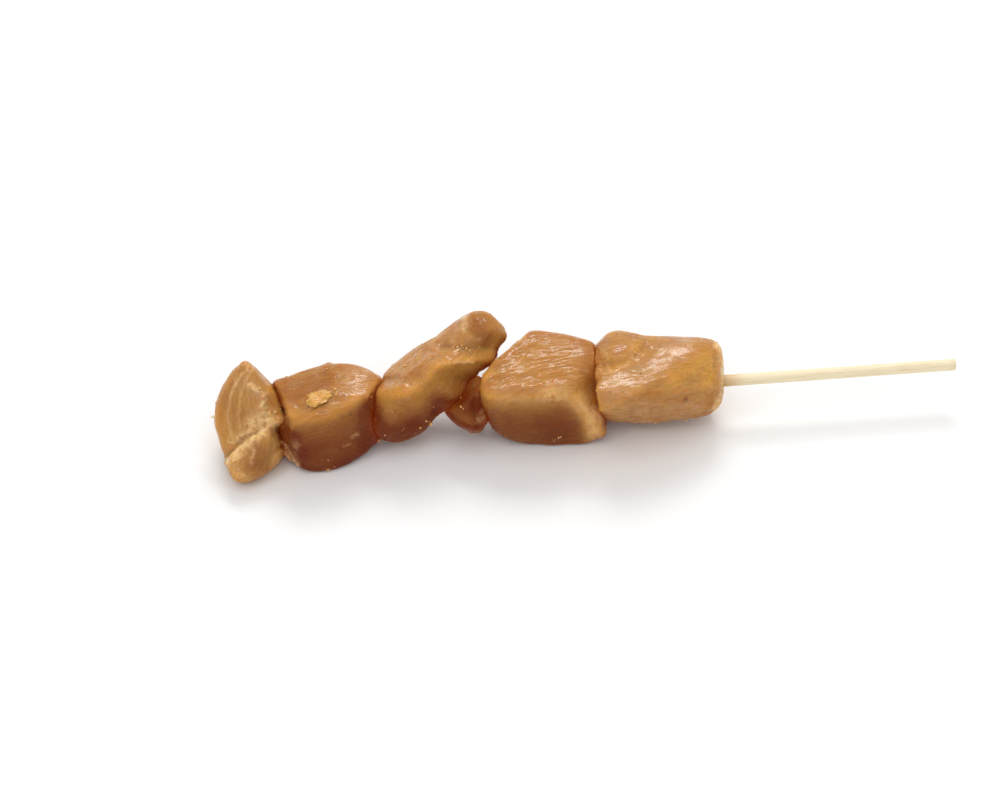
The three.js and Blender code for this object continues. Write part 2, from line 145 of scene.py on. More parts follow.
CHUNKS = (
    Chunk("chunk_1_moon", 11, (78, 10), 0.5, 0.05, 4, (
        groove(0.8, 0.22, (13.7, 16.8), (9.2, 12.4), (6.0, 7.5), (4.3, 3.0), (3.5, -1.7), (4.1, -6.4)),
        groove(0.8, 0.2, (15.1, 16.2), (11.5, 12.3), (9.3, 7.3), (8.1, 2.7), (7.7, -1.9), (8.4, -5.4)),
        groove(0.7, 0.15, (15.8, 13.6), (12.6, 8.6), (10.9, 2.8), (11.0, -2.6)),
        ridge(1.4, 0.35, (17.1, 15.1), (18.4, 11.0), (21.0, 6.4), (23.0, 1.6)),
        lip(2.2, 0.8, (17.4, -5.4), (13.0, -7.9), (8.7, -10.8), (4.8, -14.6)),
        groove(0.6, 0.5, (15.4, -5.4), (10.1, -7.9), (7.2, -10.0), (4.4, -13.0)),
        groove(0.8, 0.6, (21.9, -11.4), (19.4, -13.1), (17.9, -16.3), (17.9, -18.2)),
        ridge(1.3, 0.9, (19.6, -2.6), (22.4, -2.4)),
        ridge(1.0, 0.3, (7.4, -6.5), (10.2, -6.2), (13.0, -5.8)),
        *(ridge(0.7, 0.55, spot) for spot in GARLIC_CLUMPS),
        stain("fat_and_highlight", 1.0, 0.9, (13.8, 9.3), (16.3, 7.3), (18.0, 5.4), (17.4, 2.4), (17.8, 0.1)),
        stain("fat_and_highlight", 1.5, 1.0, (17.0, -6.6), (13.6, -8.4), (9.0, -11.8), (5.6, -15.4)),
        stain("fat_and_highlight", 1.3, 0.8, (6.0, -9.0), (9.4, -7.0), (13.0, -5.6), (16.8, -4.8)),
        stain("fat_and_highlight", 1.9, 1.0, (13.8, -2.6), (16.1, -1.8), (18.4, -2.7), (19.4, -3.4)),
        stain("fat_and_highlight", 0.4, 0.5, (14.4, 16.2), (10.4, 12.2), (7.6, 7.4), (6.1, 2.8), (5.5, -1.8), (6.2, -6.0)),
        stain("fat_and_highlight", 0.4, 0.4, (15.4, 15.0), (12.2, 10.4), (10.0, 5.0), (9.3, 0.0), (9.8, -4.4)),
        stain("amber", 1.6, 1.0, (20.4, -3.0), (23.0, -2.4)),
        stain("film", 1.8, 0.9, (14.0, 8.8), (16.6, 6.6), (18.0, 2.4), (16.0, -1.0), (20.6, -2.6)),
        stain("fat_and_highlight", 0.8, 0.5, (12.6, -15.5), (13.7, -11.7)),
        stain("fat_and_highlight", 1.0, 0.5, (7.2, -18.8), (10.1, -19.9)),
        stain("amber", 1.6, 0.8, (19.2, 9.4), (22.0, 4.6), (23.4, 0.2)),
        # Painted shade where chunk 1 meets chunk 2, and in the crease above the flap.
        stain("marinade_and_shade", 1.0, 0.9, (22.6, -5.6), (23.6, -7.6)),
        stain("marinade_and_shade", 0.5, 0.35, (15.4, -5.6), (10.1, -8.1), (7.2, -10.2), (4.4, -13.2)),
        stain("grit", 1.3, 1.0, (13.8, 9.3), (16.3, 7.3), (18.6, 5.6), (17.6, 2.4), (18.1, 0.1)),
        stain("grit", 1.4, 0.8, (15.0, -0.6), (18.6, -0.6), (20.6, -0.6)),
        stain("film", 2.6, 0.7, (6.4, 6.0), (6.0, 0.0), (7.0, -5.0)),
        stain("marinade_and_shade", 4.0, 0.45, (14.6, -13.0), (14.6, -16.0)),
        stain("amber", 3.6, 0.6, (3.4, 0.0), (4.4, -6.0), (7.0, -12.0)),
    )),
    Chunk("chunk_2_block", 23, (12, 0), -0.3, 0.95, 1, (
        lip(3.0, 0.5, (46.5, 4.6), (42.6, 5.8), (42.2, 9.0), (40.6, 14.0)),
        groove(0.9, 0.25, (24.5, 9.0), (31.7, 10.2), (38.2, 11.6)),
        groove(0.7, 0.2, (27.3, 10.7), (32.0, 12.7), (39.6, 14.5)),
        groove(0.6, 0.15, (25.0, 6.4), (30.0, 7.8), (36.0, 9.0), (41.0, 9.4)),
        ridge(0.9, 0.3, (24.0, 2.6), (27.4, 1.2), (30.4, -0.6)),
        ridge(1.6, 0.5, (39.4, 15.0)),
        ridge(2.6, 1.2, (23.0, -3.6), (24.4, -8.0)),
        groove(0.9, 0.5, (22.6, -7.6), (24.2, -8.6), (25.6, -11.5)),
        ridge(0.5, 0.3, (21.9, -8.7), (23.5, -12.1), (25.1, -16.0)),
        ridge(0.5, 0.25, (24.4, -9.8), (26.0, -13.6), (27.6, -17.8)),
        stain("skin", 4.2, 0.75, (46.6, 9.6), (50.4, 10.4), (48.0, 7.6), (45.6, 6.2)),
        stain("film", 3.6, 0.85, (46.6, 9.6), (50.8, 10.8), (47.4, 7.0)),
        stain("film", 2.0, 0.6, (27.0, 9.0), (34.0, 12.0), (40.0, 14.6)),
        stain("marinade_and_shade", 5.0, 0.3, (27.0, 7.0), (33.0, 9.0), (38.0, 9.0)),
        stain("film", 1.3, 0.9, (24.6, 2.0), (26.9, 2.1)),
        stain("film", 1.1, 0.9, (30.6, -0.3), (32.8, 0.2)),
        stain("film", 0.7, 1.0, (35.7, -1.5), (39.0, -1.4)),
        stain("amber", 2.2, 0.45, (26.2, 0.0), (30.2, -2.4), (36.8, -3.2), (42.9, -0.6), (48.0, 2.4)),
        stain("amber", 2.2, 0.6, (48.0, 2.4), (56.0, 7.0)),
        # Painted shade in the pocket by chunk 1 and in the crevice by chunk 3.
        stain("marinade_and_shade", 3.0, 1.0, (22.6, -5.5), (24.3, -8.0), (26.0, -12.5)),
        stain("marinade_and_shade", 3.4, 0.9, (52.0, 0.0), (51.4, -10.0)),
        stain("film", 0.5, 1.0, (46.0, -9.6), (47.4, -8.6)),
        stain("skin", 0.5, 0.7, (45.6, -10.0), (47.8, -8.8)),
        stain("skin", 0.4, 0.6, (43.0, -12.6), (45.4, -12.0)),
        stain("marinade_and_shade", 0.6, 0.5, (32.4, 1.2), (34.6, 0.6), (38.4, 2.0)),
        stain("skin", 1.2, 0.9, (21.9, -8.7), (23.5, -12.1), (25.1, -16.0), (26.9, -17.6)),
        stain("skin", 1.4, 0.5, (27.4, -11.0), (26.3, -13.7), (25.2, -16.0)),
        stain("fat_and_highlight", 0.45, 0.8, (21.9, -8.9), (23.3, -12.3), (25.0, -16.2), (27.2, -18.8)),
        stain("fat_and_highlight", 0.4, 0.7, (23.6, -9.6), (25.2, -13.2), (27.2, -17.4)),
        stain("grit", 1.0, 0.8, (40.5, 5.2), (42.4, 4.0)),
        stain("grit", 1.0, 1.0, (28.4, -21.6), (34.2, -21.0), (39.3, -21.2)),
    )),
    Chunk("chunk_3_slab", 37, (38, 0), 0.1, 0.65, 3, (
        groove(0.6, 0.4, (77.4, 18.1), (81.4, 17.0), (85.5, 16.5), (89.6, 16.7), (94.9, 16.2)),
        groove(0.7, 0.3, (72.0, 17.0), (76.0, 16.6), (80.0, 18.0)),
        groove(0.6, 0.2, (66.6, 9.3), (70.0, 11.0), (73.5, 14.0), (78.4, 16.0)),
        groove(0.6, 0.2, (64.0, 9.6), (67.6, 12.2), (71.4, 15.4)),
        ridge(0.8, 0.3, (77.6, 12.4), (82.8, 12.9), (87.4, 12.1)),
        ridge(0.9, 0.3, (54.6, 4.2), (59.6, 5.2), (64.7, 4.9), (69.2, 4.0)),
        groove(1.0, 0.4, (56.8, 8.2), (61.0, 8.6), (65.4, 7.4), (69.0, 9.0)),
        groove(0.8, 0.3, (84.4, 24.6), (86.4, 21.6), (89.6, 19.8)),
        stain("film", 2.6, 0.9, (61.5, 9.4), (66.5, 12.8), (71.4, 16.2), (77.6, 19.4)),
        stain("film", 1.6, 1.0, (56.8, 6.8), (61.0, 6.6), (66.0, 5.8), (68.6, 5.6)),
        stain("film", 1.5, 1.0, (80.5, 19.4), (82.9, 23.3), (85.9, 26.7)),
        # Painted highlights on the knob: the pale patches of fat and skin that follow.
        stain("fat_and_highlight", 1.3, 0.6, (84.8, 23.4), (85.9, 26.7)),
        stain("skin", 1.0, 0.9, (80.3, 19.6), (82.6, 22.6)),
        stain("film", 1.2, 1.0, (86.6, 19.4), (89.4, 19.0)),
        stain("skin", 0.9, 0.9, (87.0, 19.5), (89.2, 19.2)),
        stain("fat_and_highlight", 0.5, 0.6, (77.4, 11.9), (82.6, 12.4), (87.2, 11.9)),
        stain("grit", 1.4, 0.8, (61.5, 8.1), (65.0, 7.3), (69.0, 5.6)),
        stain("grit", 1.2, 0.6, (56.6, -8.6), (61.3, -9.6), (66.4, -9.4), (72.0, -6.6)),
        stain("grit", 1.0, 1.0, (77.4, 18.1), (81.4, 17.0), (85.5, 16.5), (89.6, 16.7)),
        stain("skin", 2.6, 0.7, (62.0, 9.8), (68.0, 13.6), (74.0, 17.0), (79.0, 19.5)),
        stain("amber", 3.0, 0.7, (54.0, 1.6), (61.0, 3.0), (68.1, 2.6)),
        stain("amber", 3.0, 1.0, (68.1, 2.6), (74.9, 8.6), (84.0, 11.6), (93.6, 14.0)),
        stain("amber", 3.6, 0.3, (92.0, 26.0), (93.8, 20.0)),
        # Painted shade behind the knob, at the end by chunk 2 and low on the front.
        stain("marinade_and_shade", 5.0, 0.45, (90.6, 24.0), (92.0, 18.0)),
        stain("marinade_and_shade", 2.4, 0.8, (54.4, -1.0), (55.6, -8.0)),
        stain("marinade_and_shade", 4.0, 0.5, (60.0, -10.0), (68.0, -6.5), (76.0, -0.5)),
    )),
    Chunk("chunk_4_scrap", 41, (-60, 0), 0.2, 1.0, 1, (
        groove(0.8, 0.4, (86.4, 2.0), (86.0, -4.0), (87.4, -9.0)),
        groove(0.7, 0.25, (83.0, 0.0), (83.4, -5.0), (85.0, -9.6)),
        stain("fat_and_highlight", 1.0, 0.35, (88.6, 1.0), (89.8, -3.0), (88.0, -7.4)),
        # Painted shade: the scrap lies in the shade below its neighbours.
        stain("marinade_and_shade", 7.0, 1.0, (85.0, -2.0)),
        stain("film", 1.6, 0.6, (87.6, 1.0), (88.6, -4.0)),
        stain("grit", 0.8, 0.8, (80.9, -1.5), (82.0, -3.0)),
    )),
    Chunk("chunk_5_cube", 53, (8, 0), -0.35, 0.8, 1, (
        groove(0.7, 0.25, (111.3, 5.4), (115.5, 5.7), (120.3, 5.4)),
        ridge(1.2, 0.3, (90.4, 2.0), (94.1, 1.8), (98.9, 3.3), (102.2, 2.6), (108.3, 2.6)),
        groove(1.1, 0.35, (94.4, 5.4), (100.0, 6.0), (106.0, 5.6)),
        groove(0.8, 0.2, (97.0, 9.4), (102.0, 12.6), (108.0, 16.0)),
        groove(1.0, 0.3, (117.6, -1.3), (121.5, -6.3), (123.6, -11.1), (126.4, -15.6)),
        ridge(1.4, 0.35, (120.4, -2.6), (124.6, -8.0), (126.6, -13.0)),
        groove(0.5, 0.15, (122.3, 5.9), (125.9, 2.8), (127.1, -0.1)),
        stain("film", 2.2, 0.7, (116.8, 15.6), (121.4, 14.0), (124.6, 11.6), (125.6, 8.0)),
        stain("film", 1.4, 1.0, (90.8, 2.2), (94.1, 1.9), (98.9, 3.2), (102.2, 2.6), (105.4, 2.4)),
        stain("film", 1.3, 0.9, (96.7, 6.9), (100.6, 8.1), (100.3, 11.0)),
        stain("film", 1.5, 0.9, (96.8, 13.6), (101.2, 16.1), (105.6, 18.2)),
        stain("film", 1.3, 0.8, (115.4, 9.7), (118.1, 8.1), (122.3, 6.8)),
        stain("skin", 2.6, 0.15, (117.0, 16.0), (121.0, 13.6), (123.6, 9.6)),
        # Painted light: the right facet is made paler with skin, fat and amber, and the painted shade is
        # taken off it.
        stain("skin", 3.0, 0.4, (122.0, -3.4), (125.4, -8.4), (127.0, -14.0)),
        stain("fat_and_highlight", 2.4, 0.45, (110.4, 0.4), (116.0, -1.2)),
        stain("marinade_and_shade", 3.2, -1.0, (121.6, -3.0), (124.6, -8.4), (126.0, -14.0)),
        stain("fat_and_highlight", 2.6, 0.35, (121.6, -3.0), (124.6, -8.4), (126.0, -14.0)),
        stain("amber", 3.0, 1.0, (120.6, -3.0), (124.0, -8.4), (125.6, -14.0)),
        stain("fat_and_highlight", 2.0, 0.25, (95.0, -1.0), (103.0, -1.4), (112.0, -1.4)),
        stain("fat_and_highlight", 1.2, 0.8, (94.8, 13.0), (100.2, 17.0), (104.6, 20.4)),
        stain("amber", 2.6, 1.0, (89.4, 0.0), (95.0, -2.0), (103.0, -2.6), (112.0, -2.6), (117.0, -3.0)),
        stain("amber", 1.2, 0.8, (89.0, 6.0), (92.4, 8.2)),
        stain("amber", 7.0, 0.3, (103.0, 9.0), (116.0, 9.0)),
        stain("grit", 0.9, 1.0, (111.4, -16.4), (114.4, -15.4)),
        stain("grit", 0.6, 0.8, (104.0, 10.3), (107.0, 10.3)),
    )),
    Chunk("chunk_6_roll", 67, (6, 0), 0.05, 0.22, 3, (
        groove(1.3, 0.8, (129.0, 8.4), (132.4, 8.2), (136.2, 9.0), (141.0, 10.8), (144.6, 13.6)),
        lip(2.2, 0.9, (127.1, -6.9), (130.4, -6.4), (134.4, -3.8), (137.3, -2.9), (140.0, -5.0),
            (147.5, -6.2)),
        groove(0.8, 0.3, (147.5, -5.8), (150.5, -4.3), (157.2, -3.8), (165.6, -3.2)),
        ridge(1.3, 0.5, (128.4, -5.4), (134.0, -3.4), (139.0, -1.8), (150.0, -2.6), (164.0, -1.2)),
        groove(0.6, 0.3, (129.4, 14.2), (129.0, 10.9), (129.6, 6.4)),
        groove(0.6, 0.3, (131.8, 12.6), (131.6, 10.6), (132.4, 7.2)),
        groove(0.5, 0.2, (130.1, 9.9), (132.2, 7.2), (135.5, 6.5)),
        ridge(0.8, 0.4, (168.0, 12.4), (169.3, 9.8), (169.4, 6.5), (168.2, 3.7)),
        groove(0.6, 0.35, (167.4, 11.3), (167.4, 7.5), (166.6, 3.8)),
        groove(0.7, 0.4, (169.4, -3.0), (168.2, -6.0), (166.0, -9.2)),
        groove(0.6, 0.35, (166.6, -4.0), (166.7, -7.0), (164.8, -9.6)),
        groove(0.6, 0.2, (161.9, 4.4), (164.3, 3.2), (163.0, 0.2)),
        groove(0.6, 0.15, (137.9, -7.8), (143.5, -9.0), (153.1, -8.7), (162.7, -8.9)),
        stain("skin", 2.9, 1.0, (129.8, -0.6), (133.6, 2.3), (139.0, 4.2), (152.2, 9.2), (158.8, 12.2)),
        stain("film", 2.9, 1.0, (129.8, -0.6), (133.6, 2.3), (139.0, 4.2), (152.2, 9.2), (158.8, 12.2)),
        stain("film", 1.0, 0.8, (145.7, 12.5), (151.5, 13.3)),
        stain("film", 1.4, 0.7, (130.4, 12.6), (132.4, 15.4), (134.6, 12.6)),
        stain("skin", 2.6, 0.6, (136.0, -8.0), (148.0, -9.0), (160.0, -8.0)),
        stain("fat_and_highlight", 1.2, 0.9, (168.6, 12.0), (169.8, 9.5), (170.0, 5.0), (169.6, 0.0)),
        stain("skin", 1.5, 0.9, (168.6, 11.0), (169.6, 7.0), (169.4, 2.0)),
        stain("fat_and_highlight", 1.2, 0.7, (169.8, -3.2), (168.0, -6.4), (166.4, -9.2)),
        stain("skin", 0.6, 1.0, (132.6, -2.9), (135.5, -1.9), (138.3, -3.1)),
        stain("skin", 0.6, 1.0, (140.1, -5.0), (143.9, -6.1), (147.7, -5.9)),
        stain("amber", 3.4, 0.9, (152.0, 2.0), (158.0, 5.0), (164.0, 8.0), (164.0, 0.0)),
        stain("amber", 2.4, 0.7, (141.0, 12.0), (137.0, 9.0), (132.0, 6.0)),
        stain("amber", 1.6, 0.6, (134.0, -5.6), (129.0, -4.6)),
        stain("marinade_and_shade", 0.8, 0.7, (155.6, -5.4)),
    )),
)

# ----------------------------
# Sizes and colours that a user would change.

def length(name, description, default):
    return FloatProperty(
        name=name, description=description, default=default, subtype="DISTANCE", unit="LENGTH")


def colour(name, description, default):
    return FloatVectorProperty(
        name=name, description=description, default=default, subtype="COLOR", size=3, min=0, max=1)


def count(name, description, default):
    return IntProperty(name=name, description=description, default=default, min=0)


def strength(name, description, default):
    return FloatProperty(name=name, description=description, default=default, min=0)


class MeatSettings(bpy.types.PropertyGroup):
    """The meat's surface."""

    grid: length("Grid", "Size of a face before the last subdivision", 0.0007)
    rounding: count("Rounding", "Smoothing passes over the cut edges", 4)
    breadth: count("Breadth", "Smoothing passes that find the broad form, to tell ridges from hollows", 60)
    touch: length("Touch", "How near two chunks come before they are pressed together", 0.0016)
    squeeze: length("Squeeze", "How near to its neighbour a chunk begins to be drawn to it", 0.005)
    # Also how far the painted shade and glow reach from where two chunks meet, and how far a chunk looks for
    # its neighbours.
    pool: length("Pool", "How far the marinade that gathers between two chunks spreads", 0.005)
    wave_size: length("Wave size", "Size of the soft unevenness", 0.0085)
    wave_height: length("Wave height", "Height of the soft unevenness", 0.0004)
    crumple_size: length("Crumple size", "Size of the small dents across the fibres", 0.0028)
    crumple_height: length("Crumple height", "Height of the small dents", 0.0002)
    fibre_width: length("Fibre width", "Width of a bundle of muscle fibres", 0.0009)
    fibre_height: length("Fibre height", "Height of a bundle of muscle fibres", 0.00014)
    lean: colour("Lean", "Meat under a thin film of marinade", (0.6, 0.33, 0.105))
    rich: colour("Rich", "Meat where the marinade has soaked in", (0.46, 0.18, 0.034))
    # Painted shade: the colour of the shaded places, and of deep marinade.
    marinade_and_shade: colour("Dark", "Meat in the deep and shaded places", (0.168, 0.023, 0.002))
    amber: colour("Amber", "Thin edges that light shines through", (0.76, 0.38, 0.07))
    # Also used as a painted highlight in a few places.
    fat_and_highlight: colour("Fat", "Fat and sinew", (0.95, 0.64, 0.3))
    # Also used as a painted sheen where the light would shine off the meat.
    skin: colour("Skin", "Pinkish membrane", (0.67, 0.365, 0.165))
    # Painted glow: the meat gives off this faint light where two chunks meet.
    seam: colour("Seam", "Light that comes through the meat where two chunks meet", (0.07, 0.008, 0.001))


class CrumbSettings(bpy.types.PropertyGroup):
    """The garlic and pepper that stick to the meat."""

    garlic: count("Garlic", "Grains of garlic that are strewn by lot", 240)
    garlic_radius: length("Garlic radius", "Radius of a middling grain of garlic", 0.00028)
    pepper: count("Pepper", "Specks of pepper that are strewn by lot", 30)
    pepper_radius: length("Pepper radius", "Radius of a middling speck of pepper", 0.00013)
    flake_height: length("Flake height", "How far the large flake of garlic stands off the meat", 0.00085)
    garlic_colour: colour("Garlic colour", "Marinated garlic", (0.78, 0.42, 0.11))
    flake_colour: colour("Flake colour", "The large flake of garlic", (0.8, 0.38, 0.055))
    pepper_colour: colour("Pepper colour", "Ground pepper", (0.1, 0.03, 0.012))


class BambooSettings(bpy.types.PropertyGroup):
    """The stick's surface."""

    sides: IntProperty(name="Sides", description="Sides of the round stick", default=48, min=8)
    point_length: length("Point length", "Length of the sharpened end", 0.014)
    point_radius: length("Point radius", "Radius at the very tip", 0.00035)
    fibre_width: length("Fibre width", "Width of a fibre in the bamboo", 0.00035)
    pale: colour("Pale", "Clean bamboo", (0.95, 0.82, 0.57))
    streak: colour("Streak", "Darker fibres", (0.72, 0.53, 0.27))
    soaked: colour("Soaked", "Bamboo that has taken up marinade", (0.62, 0.36, 0.11))


class StageSettings(bpy.types.PropertyGroup):
    """The camera, the light and the table."""

    azimuth: FloatProperty(
        name="Azimuth", description="Turn of the camera about the skewer", default=math.radians(-5.611),
        subtype="ANGLE", unit="ROTATION")
    elevation: FloatProperty(
        name="Elevation", description="Height of the camera over the table", default=VIEW_ELEVATION,
        subtype="ANGLE", unit="ROTATION")
    distance: length("Distance", "From the camera to the point that it looks at", 0.74124)
    lens: FloatProperty(name="Lens", description="Focal length in millimetres", default=80, min=1)
    key_power: strength("Key power", "Watts of the window light behind", 8.5)
    fill_power: strength("Fill power", "Watts of the light overhead", 7.5)
    glint_power: strength("Glint power", "Watts of each small lamp", 0.8)
    sky: strength("Sky", "Strength of the light from all round", 0.62)
    table: colour("Table", "The table top", (0.96, 0.96, 0.96))


# ----------------------------
# Mesh tools.

def new_piece(name, mesh):
    """An object for the mesh that moves with the whole skewer."""
    piece = bpy.data.objects.new(name, mesh)
    bpy.context.scene.collection.objects.link(piece)
    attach(piece, "root")
    return piece


def evaluated_mesh(piece):
    """The piece's mesh with its modifiers applied."""
    graph = bpy.context.evaluated_depsgraph_get()
    return bpy.data.meshes.new_from_object(piece.evaluated_get(graph))


def read_points(mesh):
    points = np.empty(len(mesh.vertices) * 3)
    mesh.vertices.foreach_get("co", points)
    return points.reshape(-1, 3)


def read_normals(mesh):
    normals = np.empty(len(mesh.vertices) * 3)
    mesh.vertex_normals.foreach_get("vector", normals)
    return normals.reshape(-1, 3)


def write_layer(mesh, name, values):
    """Keeps one value or vector for each vertex, for the material to read."""
    if values.ndim == 1:
        mesh.attributes.new(name, "FLOAT", "POINT").data.foreach_set("value", values)
    else:
        mesh.attributes.new(name, "FLOAT_VECTOR", "POINT").data.foreach_set("vector", values.ravel())


def halve_faces(piece, name):
    """Adds one step of subdivision, which splits each side of a face in two and rounds the form."""
    modifier = piece.modifiers.new(name, "SUBSURF")
    modifier.levels = 1
    modifier.render_levels = 1


def fine_copy(node, settings):
    """A fine, even, closed copy of a CAD node's mesh, and where its points lie on the node's broad form."""
    mesh = bpy.data.meshes.new(node)
    bm = bmesh.new()
    bm.from_mesh(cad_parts[node].data)
    bmesh.ops.remove_doubles(bm, verts=bm.verts, dist=0.01 * MM)
    bm.to_mesh(mesh)
    bm.free()
    rough = bpy.data.objects.new(node, mesh)
    bpy.context.scene.collection.objects.link(rough)
    halve_faces(rough, "Round")
    even = rough.modifiers.new("Even", "REMESH")
    even.mode = "VOXEL"
    even.voxel_size = settings.grid
    soften = rough.modifiers.new("Soften", "SMOOTH")
    soften.iterations = settings.rounding
    halve_faces(rough, "Fine")
    fine = evaluated_mesh(rough)
    soften.iterations = settings.breadth
    broad = evaluated_mesh(rough)
    broad_points = read_points(broad)
    bpy.data.meshes.remove(broad)
    bpy.data.objects.remove(rough)
    bpy.data.meshes.remove(mesh)
    return fine, broad_points


def surface_tree(mesh):
    """A search tree of a mesh's faces."""
    bm = bmesh.new()
    bm.from_mesh(mesh)
    tree = BVHTree.FromBMesh(bm)
    bm.free()
    return tree


def smoothstep(values, low, high):
    t = np.clip((values - low) / (high - low), 0, 1)
    return t * t * (3 - 2 * t)


def soft_noise(points, size, seed):
    """Smooth noise from about -1 to 1 at each point, with lumps of that size."""
    return np.array([noise.noise(p) for p in (points / size + seed).tolist()])


def off_route(where, route):
    """The signed distance of points of the view from a route, in millimetres, positive on its left."""
    nearest = np.full(len(where), np.inf)
    side = np.ones(len(where))
    if len(route) == 1:
        return np.hypot(*(where[:, :2] - route[0]).T)
    for start, end in zip(route, route[1:]):
        along = np.subtract(end, start)
        offset = where[:, :2] - start
        t = np.clip(offset @ along / (along @ along), 0, 1)
        apart = np.hypot(*(offset - t[:, None] * along).T)
        left = along[0] * offset[:, 1] - along[1] * offset[:, 0]
        closer = apart < nearest
        nearest = np.where(closer, apart, nearest)
        side = np.where(closer, np.sign(left), side)
    return nearest * side


def marked(marks, layer, where, facing):
    """The sum of the marks of one layer at each point. facing is how far the point turns to the eye."""
    total = np.zeros(len(where))
    for mark in marks:
        if mark.layer != layer:
            continue
        away = off_route(where, mark.route) / mark.width
        if mark.lipped:
            shape = smoothstep(away, -0.35, 0.15) * np.exp(-np.clip(away, 0, None) ** 2)
        else:
            shape = np.exp(-away ** 2)
        turned = -facing if mark.back else facing
        total += mark.amount * shape * smoothstep(turned, -0.35, 0.15)
    return total


# ----------------------------
# The meat.

def seen_direction(clock, lean):
    """A direction in the view's own x, rise and near."""
    around, towards = math.radians(clock), math.radians(lean)
    return (math.cos(towards) * math.cos(around), math.cos(towards) * math.sin(around), math.sin(towards))


def grain_of(chunk, where):
    """Coordinates in millimetres that run along the fibres, slowed down, and across them."""
    along = np.array(seen_direction(*chunk.fibre))
    across = np.cross(along, (0, 0, 1))
    across /= np.linalg.norm(across)
    middle = where.mean(axis=0)
    u, v, w = ((where - middle) @ axis for axis in (along, across, np.cross(along, across)))
    v = v + chunk.bend * u * u / 24
    warp = soft_noise(where, 8, chunk.seed)
    return np.stack([u / 8, v + 1.6 * warp, w + 1.2 * soft_noise(where, 7, -chunk.seed)], axis=1)


def back_marks(chunk, where):
    """Grooves, lips and stains for the side of a chunk that faces away, most of them along its fibres."""
    dice = random.Random(chunk.seed)
    low, high = where.min(axis=0), where.max(axis=0)
    marks = []

    def run(steps, turn):
        x, rise = (dice.uniform(low[i] + 3, high[i] - 3) for i in (0, 1))
        clock = math.radians(chunk.fibre[0] + turn)
        bend = dice.uniform(-0.2, 0.2)
        route = [(x, rise)]
        for _ in range(steps):
            clock += bend
            x += 3 * math.cos(clock)
            rise += 3 * math.sin(clock)
            route.append((x, rise))
        return route

    for _ in range(5):
        marks.append(groove(dice.uniform(0.6, 1.1), dice.uniform(0.15, 0.4), *run(5, 0), back=True))
    for _ in range(2):
        route = run(4, dice.uniform(-30, 30))
        marks.append(lip(2.6, dice.uniform(0.4, 0.7), *route, back=True))
        marks.append(stain("fat_and_highlight", dice.uniform(0.7, 1.2), 0.4, *route, back=True))
        marks.append(stain("amber", 2.6, 0.7, *run(3, 90), back=True))
        marks.append(stain("skin", dice.uniform(2.2, 3.2), 0.4, *run(3, 0), back=True))
        marks.append(stain("film", dice.uniform(1.6, 3), 0.9, *run(3, 0), back=True))
        marks.append(stain("marinade_and_shade", 3.4, 0.25, *run(2, 60), back=True))
    marks.append(stain("grit", 1.3, 1.0, *run(3, 80), back=True))
    return marks


def neighbour_gaps(points, neighbours, reach):
    """Each point's way to where it meets its nearest neighbour, and how far off that is, within reach."""
    ways = np.zeros_like(points)
    lengths = np.full(len(points), reach)
    for tree, low, high, share in neighbours:
        close = ((points > low - reach) & (points < high + reach)).all(axis=1)
        for i in np.flatnonzero(close).tolist():
            point = Vector(points[i])
            spot, _, _, apart = tree.find_nearest(point, lengths[i])
            if spot is not None and apart < lengths[i]:
                ways[i] = (spot - point) * share
                lengths[i] = apart
    return ways, lengths


def stick_profile(settings):
    """The stick's outline from its point to its blunt end: lengths from the point, and radii, in metres."""
    radius = STICK_RADIUS * MM
    bevel = 0.25 * MM
    shoulder = settings.point_length
    end = STICK_LENGTH * MM
    return [
        (0, 0), (0, settings.point_radius), (0.45 * shoulder, 0.55 * radius), (shoulder, 0.97 * radius),
        (1.3 * shoulder, radius), (end - bevel, radius), (end, radius - bevel), (end, 0),
    ]


def hug_stick(points, profile):
    """Draws the wall of the stick's hole in until it all but touches the stick."""
    spoke = points[:, 1:] - np.array(TIP)[1:]
    radius = np.linalg.norm(spoke, axis=1) / MM
    along, radii = np.array(profile[1:-1]).T / MM
    wall = np.interp((points[:, 0] - TIP.x) / MM, along, radii) + STICK_PLAY
    drawn = wall + (radius - wall) * smoothstep(radius, HUGGED, HUG_REACH)
    points[:, 1:] = np.array(TIP)[1:] + spoke * (drawn / np.maximum(radius, 1e-6))[:, None]


